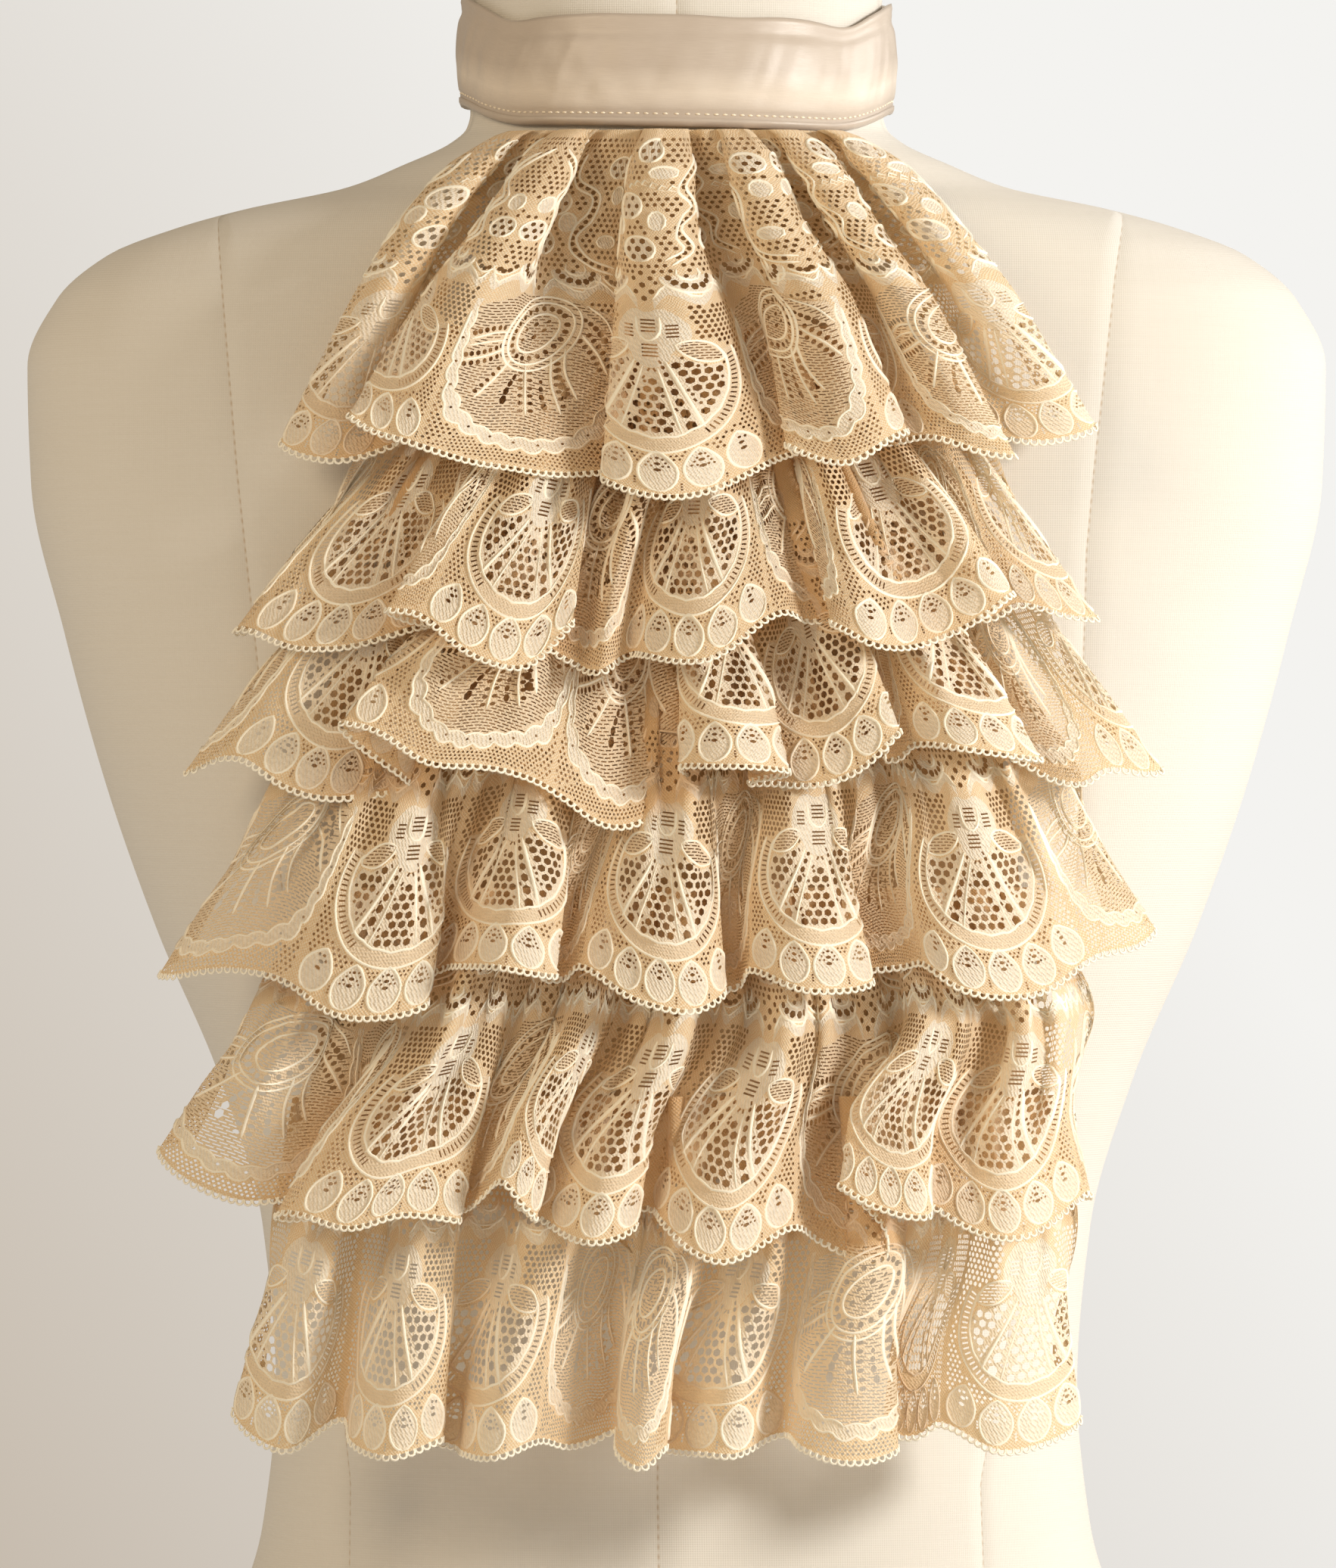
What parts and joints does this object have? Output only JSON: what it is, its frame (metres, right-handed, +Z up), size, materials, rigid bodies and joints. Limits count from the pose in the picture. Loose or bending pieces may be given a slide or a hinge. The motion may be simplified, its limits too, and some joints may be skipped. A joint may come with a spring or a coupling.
{
  "type": "lace jabot on a dress form",
  "caption": "Tiered lace jabot with a satin neckband, gathered scalloped ruffles falling down the chest of a limbless linen dress form.",
  "frame": {"origin": "on the surface it stands on, under the middle of the bounding box", "axes": "+Z up, the jabot faces -Y, +X to the left of the dress form as it is worn"},
  "size_m": [0.35, 0.2522, 0.6544],
  "materials": {
    "lace": "matt cotton lace",
    "satin": "satin ribbon",
    "backing": "fine plain weave",
    "linen": "matt linen",
    "board": "satin varnish"
  },
  "bodies": {
    "root": {"neckband": "satin", "backing": "backing", "lace_tier_1": "lace", "lace_tier_2": "lace", "lace_tier_3": "lace", "lace_tier_4": "lace", "lace_tier_5": "lace", "lace_tier_6": "lace", "dress_form": "linen", "neck_cap": "board", "base_board": "board"}
  },
  "joints": []
}
